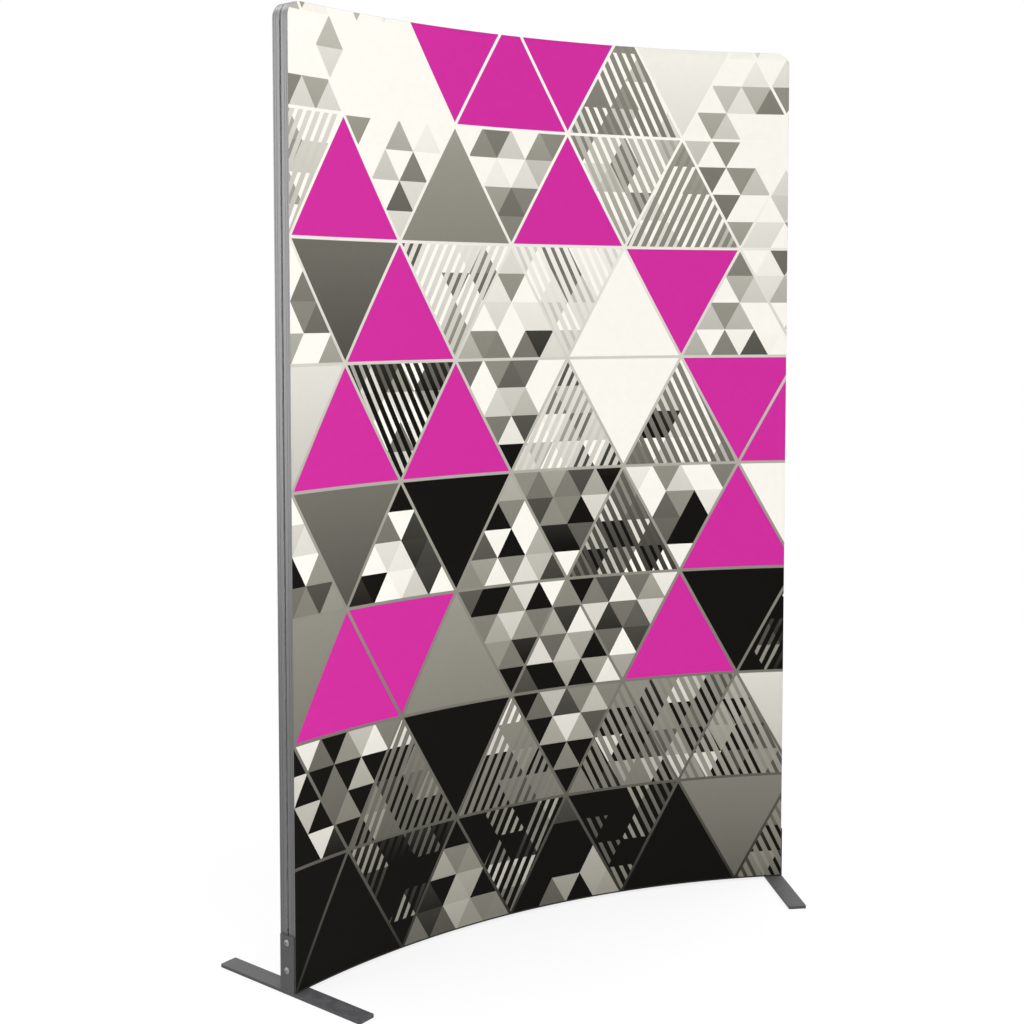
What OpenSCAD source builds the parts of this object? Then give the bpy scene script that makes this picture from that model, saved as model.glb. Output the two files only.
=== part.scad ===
// Curved fabric display backwall: an aluminium extrusion frame, bowed in plan, that holds a
// stretched fabric sheet by a flexible edge strip pushed into a groove, on two flat steel feet.
//
// Axes: X along the wall, +Y away from the viewer (the hollow side faces -Y), +Z up.
// The origin is on the floor, in the middle of the object's own box.
//
// Two local frames carry every piece. left_end() is square to the left end post: its x runs
// inward from the post's outer face, its y is the depth from the front lip, its z is up.
// on_arc(a) stands on the front face at angle a along the curve, with the same x, y and z.

/* [Wall] */
// Height of the aluminium frame, without the foot bar it stands on
frame_h = 2436; // [1200:4:3000]
// Angle that the whole wall turns through, end to end
arc_deg = 45.65; // [20:0.05:70]
// Radius of the hollow front face
front_r = 1988; // [1400:1:4000]
// Outer radius of the two top corners
corner_r = 40; // [36:1:120]

/* [Extrusion] */
// Width of the extrusion, seen from the front
prof_w = 30; // [30:1:40]
// Depth of the extrusion, front lip to back lip
prof_d = 53; // [52:1:80]
// Thickness of the lip outside the fabric groove
lip_t = 1.4; // [1:0.1:2.4]
// Width of the fabric groove
groove_w = 3.4; // [3.2:0.1:3.8]
// Depth of the fabric groove
groove_d = 15.5; // [14.5:0.1:16]
// How far the face beside the groove lies behind the lip, so that the sheet ends up flush
face_recess = 1.2; // [1.2:0.1:1.6]
// Thickness of the inner webs
web_t = 1.8; // [1.4:0.1:2]
// Opening of the T-slot in the outer face
slot_w = 6.4; // [6.2:0.1:7]
// Opening of the T-slot in the inner face
inner_slot_w = 12; // [10:0.5:13]
// Width of both T-slots behind their lips
slot_in_w = 19.4; // [19:0.1:20]
// Depth of the outer T-slot behind its lips
slot_in_d = 5; // [4.6:0.1:6.4]
// Depth of the inner T-slot behind its lips
inner_slot_d = 5.6; // [5.6:0.1:6]
// Thickness of the T-slot lips
slot_lip_t = 2; // [1.8:0.1:2.6]
// Distance of the outer pair of fine lines from the middle of the outer face
line_outer = 21.5; // [18:0.5:24]
// Distance of the inner pair of fine lines from the middle of the outer face
line_inner = 14; // [12:0.5:16]
// Width of a fine line
line_w = 1; // [0.6:0.1:1.4]
// Depth of a fine line
line_d = 0.5; // [0.3:0.1:0.7]

/* [Joiners and brackets] */
// Clearance at each side of a flat bar that slides in a T-slot
bar_gap = 0.8; // [0.4:0.1:1.2]
// Thickness of the joiners and brackets in the inner T-slot
bar_t = 5.2; // [4.5:0.1:5.3]
// Thickness of the nut bars in the outer T-slot
nut_t = 4.4; // [3.5:0.1:4.5]
// Length of the joiners across the butt joints
joiner_l = 110; // [90:5:160]
// Length of a corner bracket's leg beyond the corner piece
leg_l = 45; // [40:1:50]
// Radius of the grub screws
grub_r = 3; // [2.5:0.5:3]
// Clearance all round a screw in its thread
thread_gap = 0.05; // [0.02:0.01:0.1]

/* [Spreader rail] */
// Height of the spreader rail's centre above the butt joints of the posts
spreader_up = 90; // [85:5:200]
// Height of the spreader tube
spreader_h = 30; // [26:1:40]
// Depth of the spreader tube
spreader_d = 24; // [20:1:30]
// Wall of the spreader tube
spreader_wall = 1.6; // [1.4:0.1:2]
// Clearance of the connectors and the sleeve inside the tube
plug_gap = 0.2; // [0.1:0.05:0.4]
// Length of the end connectors inside the tube
plug_l = 34; // [30:1:40]
// Length of the sleeve inside the spreader's middle joint
sleeve_l = 120; // [80:5:160]
// Height of the connector's T-head in the post
tee_h = 44; // [36:1:60]

/* [Feet] */
// Length of the foot bar, front to back
foot_l = 500; // [300:10:700]
// Width of the foot bar
foot_w = 50; // [40:1:80]
// Thickness of the foot bar
foot_t = 8; // [5:0.5:10]
// Radius of the foot bar's corners
foot_corner_r = 3; // [1:0.5:15]
// Height of the upright plate above the foot bar
plate_h = 143; // [130:1:200]
// Width of the upright plate
plate_w = 48; // [40:1:52]
// Thickness of the upright plate
plate_t = 4; // [3:0.5:5]
// Radius of the plate's top corners
plate_corner_r = 2; // [1:0.5:10]
// Height of the lower foot screw above the foot bar
screw_low = 53; // [45:1:60]
// Distance between the two foot screws
screw_pitch = 71; // [60:1:75]
// How far the nut bar runs past the foot screws at each end
nut_bar_end = 31; // [15:1:31]
// Radius of the foot screws' shanks
screw_r = 3; // [2.5:0.5:3]
// Radius of the holes in the foot plate
plate_hole_r = 3.4; // [3.2:0.1:4]
// Radius of the foot screws' domed heads
head_r = 8.5; // [7:0.5:9]
// Height of the foot screws' domed heads
head_h = 4; // [3:0.1:5]
// Height of the straight rim under the dome
head_rim = 0.9; // [0.5:0.1:1.4]
// Width across the flats of the foot screws' hexagon sockets
socket_af = 4; // [3:0.5:5]

/* [Sheet] */
// Thickness of the fabric sheet
sheet_t = 0.8; // [0.5:0.1:0.9]
// Clearance of the sheet and its edge strips in the frame
sheet_gap = 0.2; // [0.1:0.05:0.2]
// Thickness of the flexible edge strip
edge_t = 3; // [2.6:0.1:3]
// Depth of the flexible edge strip
edge_d = 14; // [12:0.5:14]

/* [Hidden] */
$fn = 64;

// The straight posts and corners touch the curve half way along the corner's radius, so that
// straight and curved pieces lie within 0.1 mm of each other at their joints.
touch_x = corner_r / 2;
half_deg = arc_deg / 2;
end_deg = half_deg - touch_x / front_r * 180 / PI;
mid_d = prof_d / 2;
frame_z = foot_t;
frame_top = frame_z + frame_h;
corner_z = frame_top - corner_r;
joint_z = frame_z + frame_h / 2;
spreader_z = joint_z + spreader_up;

// Middle of the foot in the end's frame: its plate is flush with the bar's outer edge.
foot_x = foot_w / 2 - plate_t;
// Centre of the curve, placed so that the feet, the deepest pieces, are centred on the origin.
arc_y = -(front_r + mid_d) * cos(end_deg) - (foot_x - touch_x) * sin(end_deg);

// How far the curve leaves its tangent after a given length
function bow(length) = length * length / (2 * front_r);
bar_w = slot_in_w - 2 * bar_gap;
// Straight pieces that reach into a curved one are narrower by how far it bows away from them.
top_bracket_w = bar_w - 2 * bow(corner_r + leg_l - touch_x);
bottom_bracket_w = bar_w - 2 * bow(prof_w + leg_l - touch_x);
plug_bow = bow(prof_w + plug_l - touch_x);

// Places along the extrusion's width, from its outer face inward.
slot_end = slot_lip_t + slot_in_d;
inner_slot_x = prof_w - slot_lip_t - inner_slot_d;
inner_bar_x = prof_w - slot_lip_t - bar_t;
chamber_x = lip_t + groove_w + web_t;
mid_chamber_x = slot_end + web_t;

// A grub screw reaches from the slot's floor out past the bar.
grub_l = 6;
grub_socket_r = 1.7;
grub_socket_d = 2.5;
// Grub screws in half a joiner or in a bracket's leg: distance of the inner one from the joint,
// and of the outer one from the end.
joiner_grub_start = 18;
joiner_grub_end = 12;
leg_grub_start = 14;
leg_grub_end = 11;
joiner_grubs = [joiner_grub_start, joiner_l / 2 - joiner_grub_end];
leg_grubs = [leg_grub_start, leg_l - leg_grub_end];

// Foot screws: the shank ends just short of the outer T-slot's floor.
shank_gap = 0.3;
shank_end_x = slot_end - shank_gap;
screw_z = [frame_z + screw_low, frame_z + screw_low + screw_pitch];
socket_d = 2.2;
nut_z = screw_z[0] - nut_bar_end;
nut_l = screw_pitch + 2 * nut_bar_end;

// Inside of the spreader tube, and its screws, whose button heads are in the back of the tube
tube_in_d = spreader_d - 2 * spreader_wall;
tube_in_h = spreader_h - 2 * spreader_wall;
plug_h = tube_in_h - 2 * plug_gap;
spreader_bolt_r = 2.5;
spreader_bolt_head_r = 4.5;
spreader_bolt_head_h = 2.6;
spreader_bolt_l = 12;
spreader_bolt_rim = 0.5;
spreader_bolt_af = 3;
spreader_bolt_socket_d = 1.6;
spreader_bolt_gap = 0.25; // clearance of the screws in the tube's wall
spreader_bore_past = 0.5; // how far a tapped bore runs past its screw's end
connector_bolt_x = prof_w + plug_l / 2;
sleeve_bolt_x = sleeve_l / 4;

sheet_front = face_recess - sheet_gap - sheet_t;
sheet_back = sheet_front + sheet_t;
edge_x = lip_t + sheet_gap;
past = 1; // how far a cutting shape runs past what it cuts
past_deg = 1; // the same for a sweep, in degrees

aluminium = [0.68, 0.69, 0.70];
dark_steel = [0.36, 0.36, 0.37];
zinc = [0.62, 0.62, 0.60];
bright_screw = [0.72, 0.71, 0.68];
silicone = [0.90, 0.89, 0.86];
fabric = [0.93, 0.91, 0.88];

// ---- local frames ----

function arc_angle(length) = length / front_r * 180 / PI;

module on_arc(a)
    translate([0, arc_y, 0]) rotate([0, 0, -a]) translate([0, front_r, 0]) children();

module left_end()
    on_arc(-end_deg) translate([-touch_x, 0, 0]) children();

// side 0 is the left end, side 1 the right
module at_end(side)
    mirror([side, 0, 0]) left_end() children();

// An outline in x and z, given depth along y from y0
module deep(y0, depth)
    translate([0, y0 + depth, 0]) rotate([90, 0, 0]) linear_extrude(height = depth) children();

// An outline in depth and z, swept along the curve from angle a0 to a1
module arc_sweep(a0, a1)
    translate([0, arc_y, 0]) rotate([0, 0, 90 - a1])
        rotate_extrude(angle = a1 - a0, $fn = 180) translate([front_r, 0]) children();

// An outline in width and depth, swept round the rounded top corner in the end's frame
module corner_sweep()
    translate([corner_r, 0, corner_z]) rotate([-90, 0, 0]) rotate([0, 0, 180])
        rotate_extrude(angle = 90) translate([corner_r, 0]) mirror([1, 0]) children();

// ---- the extrusion's section: x from the outer face inward, y from the front lip back ----

module half_section_cuts() {
    // groove for the edge strip
    translate([lip_t, -past]) square([groove_w, groove_d + past]);
    // face set back beside the groove
    translate([lip_t, -past]) square([prof_w, face_recess + past]);
    // side chamber, with the wall behind the set-back face and the web beside the T-slots
    translate([chamber_x, face_recess + web_t])
        square([prof_w - web_t - chamber_x, mid_d - slot_in_w / 2 - 2 * web_t - face_recess]);
    // fine lines
    for (from_mid = [line_outer, line_inner])
        translate([-past, mid_d - from_mid - line_w / 2]) square([past + line_d, line_w]);
}

module section() {
    difference() {
        square([prof_w, prof_d]);
        half_section_cuts();
        translate([0, prof_d]) mirror([0, 1]) half_section_cuts();
        // outer T-slot
        translate([-past, mid_d - slot_w / 2]) square([slot_lip_t + 2 * past, slot_w]);
        translate([slot_lip_t, mid_d - slot_in_w / 2]) square([slot_in_d, slot_in_w]);
        // inner T-slot
        translate([prof_w - slot_lip_t - past, mid_d - inner_slot_w / 2])
            square([slot_lip_t + 2 * past, inner_slot_w]);
        translate([inner_slot_x, mid_d - slot_in_w / 2]) square([inner_slot_d, slot_in_w]);
        // middle chamber between the two
        translate([mid_chamber_x, mid_d - slot_in_w / 2])
            square([inner_slot_x - web_t - mid_chamber_x, slot_in_w]);
    }
}

// The section turned for a bottom rail, with depth first and height second
module rail_section()
    multmatrix([[0, 1, 0, 0], [1, 0, 0, 0], [0, 0, 1, 0], [0, 0, 0, 1]]) section();

// ---- frame ----

// Wedges that cut the mitre: above or below the 45 degree line from the frame's bottom corner
module mitre_wedge(above) {
    low = -2 * prof_w;
    high = 2 * prof_w;
    deep(-prof_d, 3 * prof_d) translate([0, frame_z])
        polygon([[low, low], [high, high], above ? [low, high] : [high, low]]);
}

module upright_lower(side) color(aluminium) at_end(side) difference() {
    translate([0, 0, frame_z]) linear_extrude(height = joint_z - frame_z) section();
    mitre_wedge(false);
}

module upright_upper(side) color(aluminium) at_end(side)
    translate([0, 0, joint_z]) linear_extrude(height = corner_z - joint_z) section();

module top_corner(side) color(aluminium) at_end(side) corner_sweep() section();

module bottom_rail(side) color(aluminium) mirror([side, 0, 0]) difference() {
    arc_sweep(-half_deg - past_deg, 0) translate([0, frame_z]) rail_section();
    left_end() mitre_wedge(true);
}

// Everything outboard of the rounded corner's end, in the end's frame
module corner_zone()
    translate([-2 * prof_d, -prof_d, frame_z]) cube([2 * prof_d + corner_r, 3 * prof_d, 2 * frame_h]);

module top_rail(side) color(aluminium) mirror([side, 0, 0]) difference() {
    arc_sweep(-half_deg, 0) translate([0, frame_top]) mirror([0, 1]) rail_section();
    left_end() corner_zone();
}

// ---- joiners, brackets and their grub screws ----

// A grub screw's hole or body along x, from the slot's floor inward
module grub_hole()
    translate([inner_slot_x, 0, 0]) rotate([0, 90, 0])
        cylinder(r = grub_r + thread_gap, h = prof_w - inner_slot_x);

module grub_screw()
    translate([inner_slot_x, 0, 0]) rotate([0, 90, 0]) difference() {
        cylinder(r = grub_r, h = grub_l);
        translate([0, 0, grub_l - grub_socket_d]) cylinder(r = grub_socket_r, h = grub_l, $fn = 6);
    }

// Places one child at each grub screw of a post's joiner, in the end's frame
module at_upright_grubs()
    for (dir = [-1, 1], from_joint = joiner_grubs)
        translate([0, mid_d, joint_z + dir * from_joint]) children();

module upright_joiner(side) color(zinc) at_end(side) difference() {
    translate([inner_bar_x, mid_d - bar_w / 2, joint_z - joiner_l / 2])
        cube([bar_t, bar_w, joiner_l]);
    at_upright_grubs() grub_hole();
}

// Turns a shape whose x runs inward from the outer face so that it runs up or down the rails
module from_rail_face(top)
    translate([0, 0, top ? frame_top : frame_z]) rotate([0, top ? 90 : -90, 0]) children();

// Places one child at each grub screw of a rail's joiner
module at_rail_grubs(top)
    for (dir = [-1, 1], from_joint = joiner_grubs)
        on_arc(dir * arc_angle(from_joint)) translate([0, mid_d, 0]) from_rail_face(top) children();

module rail_joiner(top) color(zinc) difference() {
    arc_sweep(-arc_angle(joiner_l / 2), arc_angle(joiner_l / 2))
        translate([mid_d - bar_w / 2, top ? frame_top - inner_bar_x - bar_t : frame_z + inner_bar_x])
            square([bar_w, bar_t]);
    at_rail_grubs(top) grub_hole();
}

module joiner_grub_screws() color(dark_steel) {
    for (side = [0, 1]) at_end(side) at_upright_grubs() grub_screw();
    for (top = [false, true]) at_rail_grubs(top) grub_screw();
}

// Places one child at each grub screw of a top bracket, in the end's frame
module at_top_bracket_grubs()
    for (from_corner = leg_grubs) {
        translate([0, mid_d, corner_z - from_corner]) children();
        translate([corner_r + from_corner, mid_d, 0]) from_rail_face(true) children();
    }

// The same for a bottom bracket, whose legs start at the inner corner of the mitre
module at_bottom_bracket_grubs()
    for (from_corner = leg_grubs) {
        translate([0, mid_d, frame_z + prof_w + from_corner]) children();
        translate([prof_w + from_corner, mid_d, 0]) from_rail_face(false) children();
    }

// Flat bar bent round the inside of the rounded corner
module top_bracket(side) color(zinc) at_end(side) difference() {
    y0 = mid_d - top_bracket_w / 2;
    union() {
        corner_sweep() translate([inner_bar_x, y0]) square([bar_t, top_bracket_w]);
        translate([inner_bar_x, y0, corner_z - leg_l]) cube([bar_t, top_bracket_w, leg_l]);
        translate([corner_r, y0, frame_top - inner_bar_x - bar_t])
            cube([leg_l, top_bracket_w, bar_t]);
    }
    at_top_bracket_grubs() grub_hole();
}

module bottom_bracket(side) color(zinc) at_end(side) difference() {
    reach = prof_w + leg_l;
    deep(mid_d - bottom_bracket_w / 2, bottom_bracket_w) translate([0, frame_z]) polygon([
        [inner_bar_x, inner_bar_x], [reach, inner_bar_x], [reach, inner_bar_x + bar_t],
        [inner_bar_x + bar_t, inner_bar_x + bar_t], [inner_bar_x + bar_t, reach],
        [inner_bar_x, reach]]);
    at_bottom_bracket_grubs() grub_hole();
}

module bracket_grub_screws() color(dark_steel)
    for (side = [0, 1]) at_end(side) {
        at_top_bracket_grubs() grub_screw();
        at_bottom_bracket_grubs() grub_screw();
    }

// ---- spreader rail ----

// Places one child at each screw in the back of the spreader tube, heads outward
module at_spreader_bolts() {
    for (dir = [-1, 1]) {
        for (a = [end_deg - arc_angle(connector_bolt_x - touch_x), arc_angle(sleeve_bolt_x)])
            on_arc(dir * a) translate([0, mid_d + spreader_d / 2, spreader_z])
                rotate([-90, 0, 0]) children();
    }
}

module spreader_tube(side) color(aluminium) mirror([side, 0, 0]) difference() {
    arc_sweep(-half_deg, 0) difference() {
        translate([mid_d, spreader_z]) square([spreader_d, spreader_h], center = true);
        translate([mid_d, spreader_z]) square([tube_in_d, tube_in_h], center = true);
    }
    // square end against the post's inner face
    left_end() translate([-2 * prof_d, -prof_d, 0]) cube([2 * prof_d + prof_w, 3 * prof_d, frame_h]);
    at_spreader_bolts() translate([0, 0, -spreader_wall - past])
        cylinder(r = spreader_bolt_r + spreader_bolt_gap, h = spreader_wall + 2 * past);
}

module spreader_connector(side) color(dark_steel) difference() {
    plug_w = tube_in_d - 2 * (plug_gap + plug_bow);
    neck_w = inner_slot_w - 2 * plug_gap;
    at_end(side) translate([0, mid_d, spreader_z]) {
        // T-head behind the slot's lips
        translate([inner_bar_x, -bar_w / 2, -tee_h / 2]) cube([bar_t, bar_w, tee_h]);
        // neck in the slot's opening
        translate([prof_w - slot_lip_t - past, -neck_w / 2, -plug_h / 2])
            cube([slot_lip_t + 2 * past, neck_w, plug_h]);
        // plug in the tube
        translate([prof_w, -plug_w / 2, -plug_h / 2]) cube([plug_l, plug_w, plug_h]);
    }
    at_spreader_bolts() bolt_bore();
}

module bolt_bore()
    translate([0, 0, -spreader_bolt_l - spreader_bore_past])
        cylinder(r = spreader_bolt_r + thread_gap, h = spreader_bolt_l + spreader_bore_past);

module spreader_sleeve() color(dark_steel) difference() {
    arc_sweep(-arc_angle(sleeve_l / 2), arc_angle(sleeve_l / 2))
        translate([mid_d, spreader_z])
            square([tube_in_d - 2 * plug_gap, plug_h], center = true);
    at_spreader_bolts() bolt_bore();
}

module spreader_screws() color(bright_screw)
    at_spreader_bolts()
        button_screw(spreader_bolt_r, spreader_bolt_l, spreader_bolt_head_r, spreader_bolt_head_h,
                     spreader_bolt_rim, spreader_bolt_af, spreader_bolt_socket_d);

// ---- screws with a domed head and a hexagon socket, head up, from z = 0 ----

module button_screw(shank_r, shank_l, dome_r, dome_h, rim_h, across_flats, recess_d) {
    cap_h = dome_h - rim_h;
    cap_r = (dome_r * dome_r + cap_h * cap_h) / (2 * cap_h);
    difference() {
        union() {
            translate([0, 0, -shank_l]) cylinder(r = shank_r, h = shank_l);
            rotate_extrude() intersection() {
                translate([0, dome_h - cap_r]) circle(r = cap_r, $fn = 120);
                square([dome_r, dome_h]);
            }
        }
        translate([0, 0, dome_h - recess_d])
            cylinder(r = across_flats / sqrt(3), h = recess_d + past, $fn = 6);
    }
}

// ---- feet ----

module foot_bar(side) color(dark_steel) at_end(side)
    translate([foot_x, mid_d, 0]) linear_extrude(height = foot_t) union() {
        square([foot_w - 2 * foot_corner_r, foot_l], center = true);
        square([foot_w, foot_l - 2 * foot_corner_r], center = true);
        for (x = [-1, 1], y = [-1, 1])
            translate([x * (foot_w / 2 - foot_corner_r), y * (foot_l / 2 - foot_corner_r)])
                circle(r = foot_corner_r);
    }

// Turns a shape that stands on z = 0 so that it stands outward on the plate's outer face
module on_plate() translate([-plate_t, mid_d, 0]) rotate([0, -90, 0]) children();

module foot_plate(side) color(dark_steel) at_end(side) difference() {
    translate([-plate_t, mid_d - plate_w / 2, frame_z]) rotate([90, 0, 90])
        linear_extrude(height = plate_t) union() {
            square([plate_w, plate_h - plate_corner_r]);
            translate([plate_corner_r, 0]) square([plate_w - 2 * plate_corner_r, plate_h]);
            for (y = [plate_corner_r, plate_w - plate_corner_r])
                translate([y, plate_h - plate_corner_r]) circle(r = plate_corner_r);
        }
    for (z = screw_z)
        translate([-plate_t - past, mid_d, z]) rotate([0, 90, 0])
            cylinder(r = plate_hole_r, h = plate_t + 2 * past);
}

module nut_bar(side) color(dark_steel) at_end(side) difference() {
    translate([slot_lip_t, mid_d - bar_w / 2, nut_z]) cube([nut_t, bar_w, nut_l]);
    for (z = screw_z)
        translate([slot_lip_t - past, mid_d, z]) rotate([0, 90, 0])
            cylinder(r = screw_r + thread_gap, h = nut_t + 2 * past);
}

module foot_screw(side, index) color(bright_screw) at_end(side)
    translate([0, 0, screw_z[index]]) on_plate()
        button_screw(screw_r, plate_t + shank_end_x, head_r, head_h, head_rim, socket_af, socket_d);

// ---- sheet and edge strips ----

// Outside of the sheet's outline at an end: beyond its edge, and beyond its rounded top corner
module sheet_trim() {
    deep(-prof_d, 2 * prof_d) translate([-2 * prof_w, 0]) square([2 * prof_w + edge_x, 2 * frame_h]);
    deep(-prof_d, 2 * prof_d) difference() {
        translate([-2 * prof_w, corner_z]) square([2 * prof_w + corner_r, 2 * corner_r]);
        translate([corner_r, corner_z]) circle(r = corner_r - edge_x, $fn = 96);
    }
}

module fabric_sheet() color(fabric) difference() {
    arc_sweep(-half_deg, half_deg) translate([sheet_front, frame_z + edge_x])
        square([sheet_t, frame_h - 2 * edge_x]);
    for (side = [0, 1]) at_end(side) sheet_trim();
}

module edge_strip_side(side) color(silicone) at_end(side) {
    translate([edge_x, sheet_back, frame_z + edge_x]) cube([edge_t, edge_d, corner_z - frame_z - edge_x]);
    corner_sweep() translate([edge_x, sheet_back]) square([edge_t, edge_d]);
}

module edge_strip_top() color(silicone) difference() {
    arc_sweep(-half_deg, half_deg) translate([sheet_back, frame_top - edge_x - edge_t])
        square([edge_d, edge_t]);
    for (side = [0, 1]) at_end(side) corner_zone();
}

module edge_strip_bottom() color(silicone) difference() {
    arc_sweep(-half_deg, half_deg) translate([sheet_back, frame_z + edge_x]) square([edge_d, edge_t]);
    // it stops short of the side strips
    for (side = [0, 1]) at_end(side)
        translate([-2 * prof_w, -prof_d, 0])
            cube([2 * prof_w + edge_x + edge_t + sheet_gap, 3 * prof_d, 2 * prof_w]);
}

upright_lower(0);  // upright_left_lower
upright_upper(0);  // upright_left_upper
upright_lower(1);  // upright_right_lower
upright_upper(1);  // upright_right_upper
top_corner(0);  // top_corner_left
top_corner(1);  // top_corner_right
top_rail(0);  // top_rail_left
top_rail(1);  // top_rail_right
bottom_rail(0);  // bottom_rail_left
bottom_rail(1);  // bottom_rail_right
spreader_tube(0);  // spreader_left
spreader_tube(1);  // spreader_right
upright_joiner(0);  // upright_joiner_left
upright_joiner(1);  // upright_joiner_right
rail_joiner(true);  // top_rail_joiner
rail_joiner(false);  // bottom_rail_joiner
top_bracket(0);  // top_bracket_left
top_bracket(1);  // top_bracket_right
bottom_bracket(0);  // bottom_bracket_left
bottom_bracket(1);  // bottom_bracket_right
spreader_connector(0);  // spreader_connector_left
spreader_connector(1);  // spreader_connector_right
spreader_sleeve();
joiner_grub_screws();
bracket_grub_screws();
spreader_screws();
foot_bar(0);  // foot_bar_left
foot_bar(1);  // foot_bar_right
foot_plate(0);  // foot_plate_left
foot_plate(1);  // foot_plate_right
nut_bar(0);  // nut_bar_left
nut_bar(1);  // nut_bar_right
foot_screw(0, 0);  // foot_screw_left_lower
foot_screw(0, 1);  // foot_screw_left_upper
foot_screw(1, 0);  // foot_screw_right_lower
foot_screw(1, 1);  // foot_screw_right_upper
fabric_sheet();
edge_strip_side(0);  // edge_strip_left
edge_strip_side(1);  // edge_strip_right
edge_strip_top();
edge_strip_bottom();
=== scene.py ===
# %% [markdown]
# # A curved fabric display wall
#
# A display wall of this kind is an aluminium extrusion bent into a shallow curve, with a printed
# polyester sheet pushed into a groove all round it. Two flat steel feet hold it upright. The
# frame's pieces arrive from the construction model at their real size and place, so this
# notebook makes what gives the wall its looks: the stretched sheet with its print, the finish
# of every metal, and a plain studio to see them in.

# %% Load the frame
import math
import bpy
import numpy as np
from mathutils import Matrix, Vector


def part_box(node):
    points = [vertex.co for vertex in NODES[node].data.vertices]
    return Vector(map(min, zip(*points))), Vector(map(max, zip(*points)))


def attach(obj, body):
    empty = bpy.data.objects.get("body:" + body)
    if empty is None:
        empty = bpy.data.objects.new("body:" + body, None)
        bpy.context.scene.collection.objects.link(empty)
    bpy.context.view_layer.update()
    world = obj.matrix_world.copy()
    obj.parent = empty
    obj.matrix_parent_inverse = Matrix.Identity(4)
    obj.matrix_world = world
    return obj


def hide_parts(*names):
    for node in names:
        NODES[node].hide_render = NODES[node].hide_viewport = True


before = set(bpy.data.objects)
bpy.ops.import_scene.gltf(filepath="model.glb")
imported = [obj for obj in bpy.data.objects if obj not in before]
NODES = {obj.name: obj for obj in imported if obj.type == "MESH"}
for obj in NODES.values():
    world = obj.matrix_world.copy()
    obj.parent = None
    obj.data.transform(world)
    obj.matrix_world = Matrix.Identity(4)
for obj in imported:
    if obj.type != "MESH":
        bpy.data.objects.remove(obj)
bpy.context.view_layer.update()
SIDES = ((-1, "left"), (1, "right"))
print("nodes from the frame:", len(NODES))

# %% [markdown]
# ## The wall's own sizes
#
# A bent object is easiest to describe in its own measures: how far along the curve, how deep
# behind the front lip, how high. The few sizes below are those of the real wall. The rest, such
# as the centre of the curve, is read from the boxes of the frame's pieces.

# %% Sizes in metres
FRONT_R = 1.988          # radius of the hollow front face
HALF_ANGLE = math.radians(45.65 / 2)
CORNER_R = 0.040         # outer radius of the top corners
PROFILE_D = 0.053        # extrusion, front to back
TOUCH = CORNER_R / 2     # an end post is square to the curve this far in from its outer face
SHEET_EDGE = 0.0003      # the sheet ends this far inside the frame's outer face

FRAME_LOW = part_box("upright_left_lower")[0].z
FRAME_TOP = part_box("top_rail_left")[1].z
ARC_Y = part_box("top_rail_left")[1].y - FRONT_R - PROFILE_D
END_ANGLE = HALF_ANGLE - TOUCH / FRONT_R
print(f"frame from {FRAME_LOW:.4f} to {FRAME_TOP:.4f} m, curve centred at y {ARC_Y:.4f}")


def on_curve(along, depth, height):
    """Point of the wall: the angle is along divided by the front radius, the radius is the front
    radius plus depth, and the centre of the curve is at x = 0, y = ARC_Y."""
    angle = along / FRONT_R
    radius = FRONT_R + depth
    x, y = radius * np.sin(angle), ARC_Y + radius * np.cos(angle)
    return np.stack([x, y, height + 0 * angle], axis=-1)


# %% [markdown]
# ## Camera
#
# The wall was photographed from its left, at about two thirds of its height, and its upright
# edges stay parallel. A camera that is held level and still shows the floor needs lens shift.
# About half of that shift is kept here, and a tilt of three degrees makes up the rest, so that
# the wall stays nearly whole in the picture when the camera is moved to another side.

# %% Camera
PHOTO_SIZE = 1024        # pixels each way
FOCAL_PX = 1464.1        # focal length in pixels
CAMERA_AT = (-2.0505, -3.3761, 1.7037)
CAMERA_YAW = math.radians(29.549)
CAMERA_TILT = math.radians(3.292)
SHIFT_PX = 118.5         # how far lens shift moves the picture's middle below the camera's aim


def make_camera():
    """Lens in millimetres is the focal length in pixels times the sensor's width over the
    picture's width."""
    data = bpy.data.cameras.new("camera")
    data.sensor_width = 36.0
    data.lens = FOCAL_PX * data.sensor_width / PHOTO_SIZE
    data.shift_y = -SHIFT_PX / PHOTO_SIZE
    camera = bpy.data.objects.new("camera", data)
    camera.location = CAMERA_AT
    camera.rotation_euler = (math.pi / 2 - CAMERA_TILT, 0, -CAMERA_YAW)
    bpy.context.scene.collection.objects.link(camera)
    bpy.context.scene.camera = camera
    print("camera: lens", round(data.lens, 2), "mm, shift", round(data.shift_y, 3))


make_camera()

# %% [markdown]
# ## Small helpers for node trees
#
# A shader is a graph. These helpers keep the graphs short to write: one makes a node and fills
# its sockets, either with a plain value or with a link from another node, and the others name
# the kinds of node that come up again and again.


# %% Node helpers
def add(tree, kind, inputs=None, **settings):
    """One node of the given kind, with its settings, its inputs filled or linked, and returned."""
    node = tree.nodes.new(kind)
    for name, value in settings.items():
        setattr(node, name, value)
    for name, value in (inputs or {}).items():
        socket = node.inputs[name]
        if isinstance(value, bpy.types.NodeSocket):
            tree.links.new(value, socket)
        else:
            socket.default_value = value
    return node


def maths(tree, operation, a, b=0.0):
    """One Math node; a and b are numbers or sockets."""
    return add(tree, "ShaderNodeMath", {0: a, 1: b}, operation=operation).outputs[0]


def vector_maths(tree, operation, a, b=(0, 0, 0)):
    """One Vector Math node that gives a vector."""
    return add(tree, "ShaderNodeVectorMath", {0: a, 1: b}, operation=operation).outputs["Vector"]


def dot(tree, a, b):
    """The dot product of two vectors."""
    return add(tree, "ShaderNodeVectorMath", {0: a, 1: b}, operation="DOT_PRODUCT").outputs["Value"]


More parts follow.
